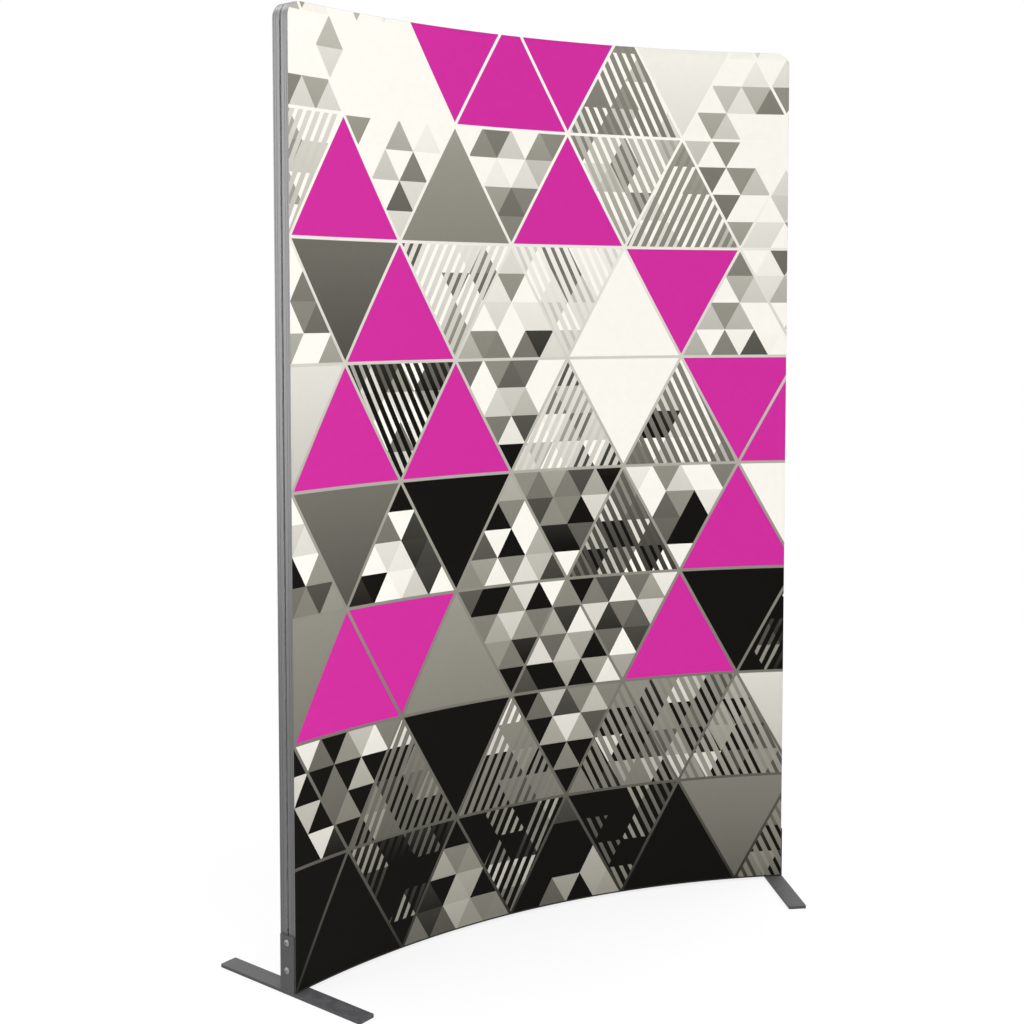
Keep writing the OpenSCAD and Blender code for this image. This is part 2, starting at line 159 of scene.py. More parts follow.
def parts_of(tree, vector):
    """The X, Y and Z of a vector."""
    return add(tree, "ShaderNodeSeparateXYZ", {0: vector}).outputs


def join(tree, x, y, z):
    """The vector of three numbers."""
    return add(tree, "ShaderNodeCombineXYZ", {"X": x, "Y": y, "Z": z}).outputs[0]


def scale_colour(tree, colour, tone):
    """A colour times a number."""
    node = add(tree, "ShaderNodeVectorMath", {0: colour, "Scale": tone}, operation="SCALE")
    return node.outputs["Vector"]


def blend_colour(tree, factor, a, b):
    """One Mix node for colours: a at a factor of 0, b at 1."""
    return add(tree, "ShaderNodeMix", {0: factor, 6: a, 7: b}, data_type="RGBA").outputs[2]


def remap(tree, value, low, high, to_low=0.0, to_high=1.0):
    """Moves a value from one range to another, held at the ends."""
    node = add(tree, "ShaderNodeMapRange", {"Value": value, "From Min": low, "From Max": high,
                                            "To Min": to_low, "To Max": to_high})
    return node.outputs["Result"]


def noise(tree, vector, scale, detail=2.0, roughness=0.5):
    """Value of a Noise Texture; the scale is in cells to the metre."""
    return add(tree, "ShaderNodeTexNoise", {"Vector": vector, "Scale": scale, "Detail": detail,
                                            "Roughness": roughness}).outputs[0]


def stretched_noise(tree, vector, cells, detail=2.0, roughness=0.5):
    """Noise with its own number of cells to the metre along each of the three directions."""
    return noise(tree, vector_maths(tree, "MULTIPLY", vector, cells), 1.0, detail, roughness)


def srgb(red, green, blue):
    """Linear colour with alpha for an sRGB colour in 0 to 255: each part over 255, to the power
    2.4 after its offset, as the sRGB standard has it."""
    parts = [part / 255 for part in (red, green, blue)]
    linear = [((part + 0.055) / 1.055) ** 2.4 if part > 0.04045 else part / 12.92
              for part in parts]
    return (*linear, 1.0)


print("srgb check, mid grey:", [round(part, 3) for part in srgb(128, 128, 128)])


# %% Group and material helpers
LOOK = [("Colour", "Color", None), ("Roughness", "Float", None), ("Height", "Float", None)]


def new_group(name, inputs, outputs):
    """An empty node group. inputs and outputs are lists of (name, socket kind, default or None)."""
    group = bpy.data.node_groups.new(name, "ShaderNodeTree")
    for direction, sockets in (("INPUT", inputs), ("OUTPUT", outputs)):
        for label, kind, default in sockets:
            socket = group.interface.new_socket(label, in_out=direction,
                                                socket_type="NodeSocket" + kind)
            if default is not None:
                socket.default_value = default
    source = group.nodes.new("NodeGroupInput")
    sink = group.nodes.new("NodeGroupOutput")
    return group, source.outputs, sink.inputs


def use_group(tree, group, inputs=None):
    """Places a group in a tree and returns its outputs."""
    return add(tree, "ShaderNodeGroup", inputs, node_tree=group).outputs


def new_material(name, **principled):
    """A material with one Principled BSDF, whose plain values are set on its own sockets."""
    material = bpy.data.materials.new(name)
    material.use_nodes = True
    tree = material.node_tree
    shader = next(node for node in tree.nodes if node.type == "BSDF_PRINCIPLED")
    for label, value in principled.items():
        shader.inputs[label.replace("_", " ")].default_value = value
    return material, tree, shader


def bump(tree, shader, height, strength, distance):
    """Feeds a height into the shader's Normal through a Bump node."""
    node = add(tree, "ShaderNodeBump",
               {"Height": height, "Strength": strength, "Distance": distance})
    tree.links.new(node.outputs[0], shader.inputs["Normal"])


def put_on(tree, shader, look, strength, distance):
    """Joins the outputs of a group that gives a look to the shader."""
    tree.links.new(look["Colour"], shader.inputs["Base Color"])
    tree.links.new(look["Roughness"], shader.inputs["Roughness"])
    bump(tree, shader, look["Height"], strength, distance)


def object_place(tree):
    """Object coordinates: metres, on each piece of the frame and on the floor."""
    return add(tree, "ShaderNodeTexCoord").outputs["Object"]


def dress(nodes, material):
    """Gives CAD nodes a material in every slot."""
    for name in nodes:
        mesh = NODES[name].data
        mesh.materials.clear()
        mesh.materials.append(material)


print("a group for a look gives:", [name for name, _, _ in LOOK])

# %% [markdown]
# ## Coordinates that follow the metal
#
# An extrusion is pressed through a die, so its faint streaks run along its length, round every
# bend. On a curved rail the streaks need the distance from the centre of the curve. On an end
# post and in the bent corner above it they need the distance from the bend's own axis, which
# stays the same down the straight post when height below the bend no longer counts. Each group
# below turns object coordinates into across, across, along.


# %% Group: coordinates along the curved rails
def make_rail_coordinates():
    """Across is the radius from the curve's centre and the height; along is the angle times the
    front radius."""
    group, given, out = new_group("rail coordinates", [("Vector", "Vector", None)],
                                  [("Vector", "Vector", None)])
    moved = vector_maths(group, "ADD", given["Vector"], (0, -ARC_Y, 0))
    parts = parts_of(group, moved)
    flat = vector_maths(group, "MULTIPLY", moved, (1, 1, 0))
    radius = add(group, "ShaderNodeVectorMath", {0: flat}, operation="LENGTH").outputs["Value"]
    angle = maths(group, "ARCTAN2", parts["X"], parts["Y"])
    along = maths(group, "MULTIPLY", angle, FRONT_R)
    group.links.new(join(group, radius, parts["Z"], along), out["Vector"])
    return group


RAIL_COORDINATES = make_rail_coordinates()
print("coordinate group:", RAIL_COORDINATES.name)

# %% [markdown]
# The T-slot down an end post's outer face is deep and narrow, so little light gets into it. Its
# lips and the two sides of its floor get a paler tone than the face, which is painted light that
# lifts the groove's shade, and the middle of the floor keeps the face's own. The pale tone isn't a
# known colour of the metal: it was set by trial, so that the groove comes out about as bright as
# in the photograph. The group for an end also gives a mask that says where that painted light
# goes.

# %% Group: coordinates on an end post and its corner
SLOT_MOUTH = 0.0004      # depth from which the inside of the slot counts
SLOT_LIP = 0.0024        # depth at which the slot's lips have ended
SLOT_FLOOR = 0.0073      # depth at which its floor has been passed
SLOT_HALF = 0.0099       # reach to either side of its middle
# painted light: the slot's pale tone fades in across the floor over this span
FLOOR_MIDDLE = (0.004, 0.0065)  # the floor goes from the face's tone to the pale one over this


def end_frame(side):
    """Origin and directions of the frame that is square to an end post: inward, and back. The
    origin is on the post's outer face; side is -1 for the left end and 1 for the right."""
    inward = np.array([-side * math.cos(END_ANGLE), math.sin(END_ANGLE), 0])
    back = np.array([side * math.sin(END_ANGLE), math.cos(END_ANGLE), 0])
    origin = on_curve(np.array(side * END_ANGLE * FRONT_R), 0.0, 0.0) - inward * TOUCH
    return origin, inward, back


def painted_slot_light_mask(group, depth, radius):
    """One in the slot, where both the distance from the bend's axis and the depth lie within
    its own, apart from the middle of its floor."""
    aside = maths(group, "ABSOLUTE", maths(group, "SUBTRACT", depth, PROFILE_D / 2))
    inside = maths(group, "MULTIPLY", maths(group, "LESS_THAN", radius, CORNER_R - SLOT_MOUTH),
                   maths(group, "GREATER_THAN", radius, CORNER_R - SLOT_FLOOR))
    slot = maths(group, "MULTIPLY", inside, maths(group, "LESS_THAN", aside, SLOT_HALF))
    # painted light: the lips and the sides of the floor take the pale tone that lifts the groove's
    # shade
    pale = maths(group, "MAXIMUM", maths(group, "GREATER_THAN", radius, CORNER_R - SLOT_LIP),
                 remap(group, aside, *FLOOR_MIDDLE))
    return maths(group, "MULTIPLY", slot, pale)


def make_end_coordinates(side, label):
    """Across is the depth and the distance from the bend's axis; along is the angle round it
    times the bend's radius, plus the height below it."""
    origin, inward, back = end_frame(side)
    group, given, out = new_group(f"end coordinates {label}", [("Vector", "Vector", None)],
                                  [("Vector", "Vector", None), ("Painted slot light", "Float", None)])
    centre = origin + inward * CORNER_R + np.array([0, 0, FRAME_TOP - CORNER_R])
    moved = vector_maths(group, "SUBTRACT", given["Vector"], tuple(centre))
    outward = dot(group, moved, tuple(-inward))
    depth = dot(group, moved, tuple(back))
    height = dot(group, moved, (0, 0, 1))
    up = maths(group, "MAXIMUM", height, 0.0)
    radius = maths(group, "SQRT", maths(group, "ADD", maths(group, "MULTIPLY", outward, outward),
                                        maths(group, "MULTIPLY", up, up)))
    turned = maths(group, "MULTIPLY", maths(group, "ARCTAN2", up, outward), CORNER_R)
    along = maths(group, "ADD", turned, maths(group, "MINIMUM", height, 0.0))
    group.links.new(join(group, depth, radius, along), out["Vector"])
    group.links.new(painted_slot_light_mask(group, depth, radius), out["Painted slot light"])
    return group


END_COORDINATES = {label: make_end_coordinates(side, label) for side, label in SIDES}
print("coordinate groups:", [group.name for group in END_COORDINATES.values()])

# %% [markdown]
# ## Satin anodised aluminium
#
# Anodising turns a bright extrusion into an even, silky grey. Close up it still shows the die's
# streaks, very faint, a slow change of tone from place to place, and the odd rub mark from
# packing. Streaks are noise stretched hundreds of times longer along the length than across.

# %% Group: anodised extrusion
FINE_STREAKS = (1400, 1400, 5)     # cells to the metre across, across and along
BROAD_STREAKS = (180, 180, 0.8)
RUBS = (60, 60, 22)
SLOW_CELLS = 3.5                   # cells to the metre of the slow change of tone
SLOW_TONE, RUB_TONE = 0.07, 0.06   # what the slow noise and the rubs add to the tone
SATIN_ROUGHNESS = 0.44
STREAK_ROUGHNESS, RUB_POLISH = 0.08, 0.08


def make_anodised():
    """Streaks from two stretched noises; tone is the base colour times one plus small parts of
    the streaks and of a slow noise; rubs are the top few percent of a third noise."""
    group, given, out = new_group(
        "anodised extrusion",
        [("Vector", "Vector", None), ("Colour", "Color", (0.3, 0.3, 0.3, 1)),
         ("Streaks", "Float", 0.05)], LOOK)
    fine = stretched_noise(group, given["Vector"], FINE_STREAKS)
    broad = stretched_noise(group, given["Vector"], BROAD_STREAKS)
    slow = noise(group, given["Vector"], SLOW_CELLS, detail=3.0)
    rubs = stretched_noise(group, given["Vector"], RUBS, detail=5.0, roughness=0.65)
    rubs = remap(group, rubs, 0.66, 0.74)
    streak = maths(group, "ADD", maths(group, "SUBTRACT", fine, 0.5),
                   maths(group, "SUBTRACT", broad, 0.5))
    change = maths(group, "MULTIPLY", maths(group, "SUBTRACT", slow, 0.5), SLOW_TONE)
    tone = maths(group, "ADD", 1.0, maths(group, "MULTIPLY", streak, given["Streaks"]))
    tone = maths(group, "ADD", tone, change)
    tone = maths(group, "ADD", tone, maths(group, "MULTIPLY", rubs, RUB_TONE))
    rough = maths(group, "ADD", SATIN_ROUGHNESS, maths(group, "MULTIPLY", fine, STREAK_ROUGHNESS))
    rough = maths(group, "SUBTRACT", rough, maths(group, "MULTIPLY", rubs, RUB_POLISH))
    group.links.new(scale_colour(group, given["Colour"], tone), out["Colour"])
    group.links.new(rough, out["Roughness"])
    group.links.new(maths(group, "ADD", fine, broad), out["Height"])
    return group


ANODISED = make_anodised()
print("look group:", ANODISED.name)

# %% Materials: posts, rails and spreader
ALUMINIUM_COLOUR = srgb(101, 101, 101)
# painted light: a pale tone on the slot's lips and the sides of its floor, lifting the groove's
# shade
SLOT_PAINTED_LIGHT_COLOUR = srgb(226, 226, 226)        # of the slot's lips and the sides of its floor
MILL_COLOUR = srgb(146, 147, 148)        # the spreader, which isn't anodised


def anodised_material(name, coordinates, colour=ALUMINIUM_COLOUR):
    """Metal whose streaks follow the given coordinate group, paler where the group has a slot."""
    material, tree, shader = new_material(name, Metallic=0.6)
    place = use_group(tree, coordinates, {"Vector": object_place(tree)})
    # painted light: the pale slot colour is blended in where the group marks the slot
    if "Painted slot light" in place:
        colour = blend_colour(tree, place["Painted slot light"], colour, SLOT_PAINTED_LIGHT_COLOUR)
    metal = use_group(tree, ANODISED, {"Vector": place["Vector"], "Colour": colour})
    put_on(tree, shader, metal, strength=0.25, distance=0.00004)
    return material


RAILS = [f"{rail}_{label}" for rail in ("top_rail", "bottom_rail") for _, label in SIDES]
dress(RAILS, anodised_material("anodised_rail", RAIL_COORDINATES))
print("anodised:", RAILS)
for _, label in SIDES:
    posts = [f"upright_{label}_lower", f"upright_{label}_upper", f"top_corner_{label}"]
    dress(posts, anodised_material(f"anodised_end_{label}", END_COORDINATES[label]))
    print("anodised:", posts)
dress(["spreader_left", "spreader_right"],
      anodised_material("mill_finish_tube", RAIL_COORDINATES, MILL_COLOUR))
print("mill finish: both spreader lengths")

# %% [markdown]
# ## Powder coated feet
#
# The feet are flat steel with a dark grey powder coat. Baked powder never lies quite flat: it
# has a fine orange-peel texture a millimetre or two across. On the floor it picks up scuffs and
# a little dust on its upward faces.

# %% Group and material: powder coat
PEEL_CELLS, SPECK_CELLS = 650.0, 500.0   # cells to the metre of each noise
CLOUD_CELLS, DUST_CELLS = 14.0, 38.0
SCUFFS = (90, 320, 200)                  # cells to the metre along X, Y and Z
SCUFF_SHARE, DUST_SHARE = 0.25, 0.06     # how far each covers the coat
COAT_ROUGHNESS = 0.52
SCUFF_ROUGHNESS, DUST_ROUGHNESS = 0.12, 0.2      # what each adds to it
POWDER_COLOUR = srgb(68, 68, 70)
SCUFF_COLOUR = srgb(165, 165, 165)
DUST_COLOUR = srgb(190, 187, 182)


def make_powder_coat():
    """Height is a noise of about 1.5 mm; scuffs are thin bands of a stretched noise; dust grows
    with the upward part of the normal."""
    group, given, out = new_group(
        "powder coat",
        [("Vector", "Vector", None), ("Normal", "Vector", None),
         ("Colour", "Color", (0.1, 0.1, 0.1, 1))], LOOK)
    peel = noise(group, given["Vector"], PEEL_CELLS)
    cloud = noise(group, given["Vector"], CLOUD_CELLS, detail=4.0, roughness=0.6)
    scuff = stretched_noise(group, given["Vector"], SCUFFS, detail=6.0, roughness=0.7)
    scuff = remap(group, scuff, 0.68, 0.76)
    upward = remap(group, dot(group, given["Normal"], (0, 0, 1)), 0.6, 1.0)
    settled = remap(group, noise(group, given["Vector"], DUST_CELLS, detail=5.0), 0.45, 0.8)
    dust = maths(group, "MULTIPLY", upward, settled)
    speck = noise(group, given["Vector"], SPECK_CELLS, detail=3.0)
    tone = maths(group, "MULTIPLY",
                 remap(group, speck, 0.35, 0.65, to_low=0.86, to_high=1.14),
                 remap(group, cloud, 0.3, 0.7, to_low=0.97, to_high=1.03))
    colour = blend_colour(group, maths(group, "MULTIPLY", scuff, SCUFF_SHARE),
                          scale_colour(group, given["Colour"], tone), SCUFF_COLOUR)
    colour = blend_colour(group, maths(group, "MULTIPLY", dust, DUST_SHARE), colour, DUST_COLOUR)
    rough = maths(group, "ADD", COAT_ROUGHNESS, maths(group, "MULTIPLY", dust, DUST_ROUGHNESS))
    rough = maths(group, "ADD", rough, maths(group, "MULTIPLY", scuff, SCUFF_ROUGHNESS))
    group.links.new(colour, out["Colour"])
    group.links.new(rough, out["Roughness"])
    group.links.new(peel, out["Height"])
    return group


POWDER_COAT = make_powder_coat()


def powder_coat_material():
    """Dark grey powder coat."""
    material, tree, shader = new_material("powder_coat", Metallic=0.0, Specular_IOR_Level=0.35)
    place = add(tree, "ShaderNodeTexCoord").outputs
    coat = use_group(tree, POWDER_COAT, {"Vector": place["Object"], "Normal": place["Normal"],
                                         "Colour": POWDER_COLOUR})
    put_on(tree, shader, coat, strength=0.35, distance=0.00015)
    return material


FEET = [f"foot_{part}_{label}" for part in ("bar", "plate") for _, label in SIDES]
dress(FEET, powder_coat_material())
print("powder coated:", FEET)

# %% [markdown]
# ## Plated and blackened steel
#
# The bars and brackets inside the frame are zinc plated: a pale, slightly blotchy metal with a
# hint of yellow. The grub screws are blackened. The nut bars behind the feet get the same dark
# colour, so that their ends show as painted shade at the groove's end just above each foot. The
# domed foot screws are nickel that has dulled.

# %% Group and materials: steel hardware
BLOTCH_CELLS = 60.0      # cells to the metre of the slow noise


def make_plated():
    """Tone from a crystalline Voronoi pattern and a slow noise; a tint where the noise is high."""
    group, given, out = new_group(
        "plated steel",
        [("Vector", "Vector", None), ("Colour", "Color", (0.5, 0.5, 0.5, 1)),
         ("Tint", "Color", (0.5, 0.5, 0.4, 1)), ("Grain", "Float", 400.0)], LOOK)
    cells = add(group, "ShaderNodeTexVoronoi", {"Vector": given["Vector"], "Scale": given["Grain"]})
    crystal = add(group, "ShaderNodeSeparateColor", {0: cells.outputs["Color"]}).outputs[0]
    slow = noise(group, given["Vector"], BLOTCH_CELLS, detail=4.0)
    colour = blend_colour(group, remap(group, slow, 0.4, 0.7), given["Colour"], given["Tint"])
    tone = remap(group, crystal, 0.0, 1.0, to_low=0.92, to_high=1.08)
    rough = remap(group, slow, 0.3, 0.7, to_low=0.38, to_high=0.54)
    group.links.new(scale_colour(group, colour, tone), out["Colour"])
    group.links.new(rough, out["Roughness"])
    group.links.new(crystal, out["Height"])
    return group


PLATED = make_plated()


def plated_material(name, colour, tint, grain):
    """Plated steel in the given colours; grain is the number of crystals to the metre."""
    material, tree, shader = new_material(name, Metallic=1.0)
    plating = use_group(tree, PLATED, {"Vector": object_place(tree), "Colour": colour,
                                       "Tint": tint, "Grain": grain})
    put_on(tree, shader, plating, strength=0.1, distance=0.00005)
    return material


ZINC = plated_material("zinc_plate", srgb(146, 147, 146), srgb(154, 151, 138), 500.0)
BLACKENED_AND_PAINTED_SHADE = plated_material("black_oxide_and_painted_shade", srgb(52, 52, 55), srgb(66, 62, 60), 1500.0)
NICKEL = plated_material("dull_nickel", srgb(144, 144, 145), srgb(134, 133, 132), 1200.0)
dress([name for name in NODES if "joiner_" in name or name.endswith("_joiner") or "bracket_" in name
       or "connector" in name or "sleeve" in name], ZINC)
# painted shade: the nut bars take the dark colour so that the groove's end above each foot shows
# dark
dress(["joiner_grub_screws", "bracket_grub_screws", "nut_bar_left", "nut_bar_right"], BLACKENED_AND_PAINTED_SHADE)
dress([name for name in NODES if name.startswith("foot_screw")] + ["spreader_screws"], NICKEL)
print("hardware dressed: zinc, black oxide, dull nickel")


# %% Material: the flexible edge strip
def edge_strip_material():
    """Milky silicone: soft white, a little cloudy, with a moulded sheen."""
    material, tree, shader = new_material("silicone", Roughness=0.45, IOR=1.41,
                                          Subsurface_Weight=0.2, Subsurface_Scale=0.002)
    vector = object_place(tree)
    cloud = noise(tree, vector, 90.0, detail=4.0)
    colour = blend_colour(tree, cloud, srgb(222, 220, 212), srgb(236, 235, 230))
    tree.links.new(colour, shader.inputs["Base Color"])
    bump(tree, shader, noise(tree, vector, 900.0), strength=0.2, distance=0.0001)
    return material


EDGE_STRIPS = [name for name in NODES if name.startswith("edge_strip")]
dress(EDGE_STRIPS, edge_strip_material())
print("silicone:", EDGE_STRIPS)

# %% [markdown]
# ## The sheet's shape
#
# The sheet is knitted polyester, cut to the frame and drawn tight by the strip sewn along its
# edge. Its face is part of a cylinder. Two small things tell cloth from board: the soft edge
# swells over the frame's thin lip before it turns into the groove, so that hardly any metal shows
# from the front, and the pull of the cloth takes it a few millimetres off the cylinder between
# the rails, because the cloth would rather be straight than bent.
#
# A grid suits the middle: one parameter runs along the curve, the other up the sheet. Near the
# rounded top corners the columns simply stop lower, on the corner's circle. Rings of faces
# between the grid and the rim then shape the swelling and the rolled edge.

# %% Sheet sizes, outline and grid
SHEET_T = 0.0003
FACE_DEPTH = 0.0003      # how far the printed face lies behind the lip, away from the edge
OVER_LIP = 0.00036       # how far it stands in front of the lip at the edge
ROLL = 0.00034           # radius of the rolled edge
RIM = 0.010              # width of the band that the rings fill
PULL = 0.004             # how far the cloth is drawn forward in the middle
COLUMNS, ROWS, CORNER_COLUMNS, ROLL_STEPS = 178, 216, 18, 4
ROW_BUNCHING = 0.12      # share by which the rows lie closer at the top and bottom


def sheet_outline(along, half_length, high, radius):
    """Top edge of the sheet at a distance along the curve: the sheet's top, less the rounded
    corner, whose height is the root of the radius squared less the distance squared."""
    into_corner = np.clip(np.abs(along) - (half_length - radius), 0, radius)
    return high - radius + np.sqrt(np.maximum(radius ** 2 - into_corner ** 2, 0))


def sheet_grid(half_length, low, high):
    """Arrays of along and height out to the rim. Columns bunch up in the corners, evenly by
    angle, and rows lie closer near the top and bottom."""
    radius = CORNER_R - SHEET_EDGE
    turn = np.linspace(0, math.pi / 2, CORNER_COLUMNS + 1)
    left_corner = -half_length + radius * (1 - np.cos(turn))
    middle = np.linspace(left_corner[-1], -left_corner[-1], COLUMNS - 2 * CORNER_COLUMNS)[1:-1]
    along = np.concatenate([left_corner, middle, -left_corner[::-1]])
    rise = np.linspace(0, 1, ROWS)
    rise = rise - ROW_BUNCHING * np.sin(2 * math.pi * rise) / (2 * math.pi)
    top = sheet_outline(along, half_length, high, radius)
    height = low + rise[None, :] * (top[:, None] - low)
    return np.repeat(along[:, None], ROWS, axis=1), height


def quads(columns, rows):
    """Corner indices of a grid's quads, wound so that their normals face the viewer."""
    index = np.arange(columns * rows).reshape(columns, rows)
    corners = [index[:-1, :-1], index[1:, :-1], index[1:, 1:], index[:-1, 1:]]
    return np.stack(corners, axis=-1).reshape(-1, 4)


print("sheet grid:", COLUMNS, "columns by", ROWS, "rows")

# %% Rings of faces at the sheet's rim
RING_SHARES = np.array([0.82, 0.64, 0.48, 0.34, 0.22, 0.13, 0.07])  # of the band, from the rim
SWELL_RATE = 1.15        # above 1, the swelling is full before the rim is reached


def rim_profile():
    """Distance from the rim, and depth, of each ring. The depth rises from the face's to the
    swelling's along half a cosine wave, then follows a quarter circle back to the lip."""
    rise = (1 - np.cos(math.pi * np.clip(SWELL_RATE * (1 - RING_SHARES), 0, 1))) / 2
    band_depth = FACE_DEPTH - (FACE_DEPTH + OVER_LIP) * rise
    turn = np.linspace(0, math.pi / 2, ROLL_STEPS + 1)
    inset = np.concatenate([RIM * RING_SHARES, ROLL * (1 - np.sin(turn))])
    depth = np.concatenate([band_depth, -OVER_LIP + ROLL * (1 - np.cos(turn))])
    return inset, depth


def ring_faces(ring_index):
    """Quads between each ring and the next, closed round the sheet."""
    ahead = np.roll(ring_index, -1, axis=1)
    corners = [ring_index[:-1], ring_index[1:], ahead[1:], ahead[:-1]]
    return np.stack(corners, axis=-1).reshape(-1, 4)


print("rings at the rim:", len(rim_profile()[0]))


# %% Build the sheet
def sheet_mesh(points, faces, uv):
    """A smooth mesh with the flat sheet's metres as its UV map."""
    mesh = bpy.data.meshes.new("printed_sheet")
    mesh.from_pydata(points.tolist(), [], faces.tolist())
    layer = mesh.uv_layers.new(name="sheet_metres")
    loops = np.empty(len(mesh.loops), dtype=np.int32)
    mesh.loops.foreach_get("vertex_index", loops)
    layer.data.foreach_set("uv", uv[loops].ravel())
    mesh.shade_smooth()
    mesh.validate()
    return mesh


def build_sheet():
    """The grid shrunk by the width of the rim band, its depth being the face depth less a pull
    that is a product of two rounded bumps, then the rings out to the true edge."""
    half_length = FRONT_R * HALF_ANGLE - SHEET_EDGE
    low, high = FRAME_LOW + SHEET_EDGE, FRAME_TOP - SHEET_EDGE
    half_height, middle = (high - low) / 2, (high + low) / 2
    along, height = sheet_grid(half_length, low, high)
    across, up = along / half_length, (height - middle) / half_height
    pull = PULL * (1 - across ** 2) ** 1.5 * (1 - np.abs(up) ** 4)
    face_along = across * (half_length - RIM)
    face_height = middle + up * (half_height - RIM)
    face = on_curve(face_along, FACE_DEPTH - pull, face_height).reshape(-1, 3)
    flat = np.stack([face_along + half_length, face_height - low], axis=-1).reshape(-1, 2)

    index = np.arange(along.size).reshape(along.shape)
    rim = np.concatenate([index[:, 0], index[-1, 1:], index[-2::-1, -1], index[0, -2:0:-1]])
    inner = np.stack([face_along.ravel()[rim], face_height.ravel()[rim]], axis=-1)
    outer = np.stack([along.ravel()[rim], height.ravel()[rim]], axis=-1)
    inset, ring_depth = rim_profile()
    rings = outer + (inner - outer) * (inset / RIM)[:, None, None]
    ring_points = on_curve(rings[..., 0], ring_depth[:, None], rings[..., 1]).reshape(-1, 3)
    ring_flat = (rings + np.array([half_length, -low])).reshape(-1, 2)
    ring_index = len(face) + np.arange(len(inset) * len(rim)).reshape(-1, len(rim))

    points = np.concatenate([face, ring_points])
    faces = np.concatenate([quads(*along.shape), ring_faces(np.vstack([rim, ring_index]))])
    mesh = sheet_mesh(points, faces, np.concatenate([flat, ring_flat]))
    sheet = bpy.data.objects.new("printed_sheet", mesh)
    bpy.context.scene.collection.objects.link(sheet)
    thick = sheet.modifiers.new("cloth thickness", "SOLIDIFY")
    thick.thickness = SHEET_T
    thick.offset = -1.0
    thick.material_offset = 1
    print("sheet:", len(points), "points,", len(faces), "quads, flat size",
          round(2 * half_length, 4), "by", round(high - low, 4), "m")
    return sheet, 2 * half_length, high - low


SHEET, SHEET_WIDTH, SHEET_HEIGHT = build_sheet()

# %% [markdown]
# ## The print
#
# A dye-printed sheet can carry any picture. This one has a plain geometric mosaic of triangles
# in cream, warm grey, near black and magenta, light at the top and dark at the foot, with some
# triangles cut into smaller ones and some filled with fine lines.
#
# A triangle pattern comes from a sheared square grid: shear the plane so that two edges of the
# triangles become the grid's axes, take whole and fractional parts, and the diagonal of each
# cell splits it in two.


# %% Group: triangle grid
def make_triangle_grid():
    """For a point and a side length: b is y over the triangle's height, a is x over the side less
    half of b. The cell is the whole parts of a and b and which side of the diagonal the
    fractions lie on. The edge distance is the least of the three edge fractions times the
    height."""
    group, given, out = new_group(
        "triangle grid", [("Point", "Vector", None), ("Side", "Float", 0.4)],
        [("Cell", "Vector", None), ("Edge", "Float", None)])
    parts = parts_of(group, given["Point"])
    tall = maths(group, "MULTIPLY", given["Side"], math.sqrt(3) / 2)
    b = maths(group, "DIVIDE", parts["Y"], tall)
    a = maths(group, "SUBTRACT", maths(group, "DIVIDE", parts["X"], given["Side"]),
              maths(group, "MULTIPLY", b, 0.5))
    whole_a, whole_b = maths(group, "FLOOR", a), maths(group, "FLOOR", b)
    part_a, part_b = maths(group, "SUBTRACT", a, whole_a), maths(group, "SUBTRACT", b, whole_b)
    total = maths(group, "ADD", part_a, part_b)
    upper = maths(group, "GREATER_THAN", total, 1.0)
    below = maths(group, "MINIMUM", maths(group, "MINIMUM", part_a, part_b),
                  maths(group, "SUBTRACT", 1.0, total))
    above = maths(group, "MINIMUM", maths(group, "MINIMUM", maths(group, "SUBTRACT", 1.0, part_a),
                                          maths(group, "SUBTRACT", 1.0, part_b)),
                  maths(group, "SUBTRACT", total, 1.0))
    edge = maths(group, "MULTIPLY", maths(group, "MAXIMUM", below, above), tall)
    group.links.new(join(group, whole_a, whole_b, upper), out["Cell"])
    group.links.new(edge, out["Edge"])
    return group


TRIANGLES = make_triangle_grid()
print("pattern group:", TRIANGLES.name)

# %% [markdown]
# Each large triangle draws a kind between 0 and 1. The lowest kinds are plain, the next are cut
# into small triangles, the next are lined, and the highest are magenta, or lined where the
# triangle lies near the foot of the sheet.

# %% Group: the mosaic print
CREAM = srgb(251, 248, 239)
MAGENTA = srgb(208, 46, 158)
NEAR_BLACK = srgb(14, 13, 9)
WARM_GREY = srgb(150, 148, 136)
LARGE_SIDE, SMALL_SIDE = 0.36, 0.09      # sides of the triangles, in metres
SPLIT_FROM, LINED_FROM, MAGENTA_FROM = 0.30, 0.62, 0.80
MAGENTA_LOWEST = 0.62                    # no magenta below this height on the sheet
LINES_PER_METRE, LINE_SHARE = 36.0, 0.42 # a line fills this share of its spacing
KEYLINE_EDGE = (0.0035, 0.0045)          # the line round a large triangle fades out over this
KEYLINE_TONE = 0.55                      # its tone half way up the sheet
LIGHTEN = 0.42                           # tone added at the top, and taken off at the foot
LIGHTEN_HEIGHT = 2.4                     # height on the sheet at which all of it is added


def random_of(tree, cell, seed):
    """A steady random number for a cell: white noise of the cell moved by the seed."""
    moved = vector_maths(tree, "ADD", cell, (seed, seed * 0.37, seed * 1.71))
    node = add(tree, "ShaderNodeTexWhiteNoise", {"Vector": moved}, noise_dimensions="3D")
    return node.outputs["Value"]


def tone_colour(tree, value):
    """Near black, warm grey or cream along a value from 0 to 1."""
    low = blend_colour(tree, remap(tree, value, 0.1, 0.5), NEAR_BLACK, WARM_GREY)
    return blend_colour(tree, remap(tree, value, 0.5, 0.85), low, CREAM)


def lines_of(tree, parts, cell):
    """One on slanting lines, which lean left or right at random from cell to cell."""
    slant = maths(tree, "SIGN", maths(tree, "SUBTRACT", random_of(tree, cell, 5.5), 0.5))
    ruled = maths(tree, "ADD", maths(tree, "MULTIPLY", parts["Y"], 0.5),
                  maths(tree, "MULTIPLY", parts["X"], slant))
    wave = maths(tree, "FRACT", maths(tree, "MULTIPLY", ruled, LINES_PER_METRE))
    return maths(tree, "LESS_THAN", wave, LINE_SHARE)


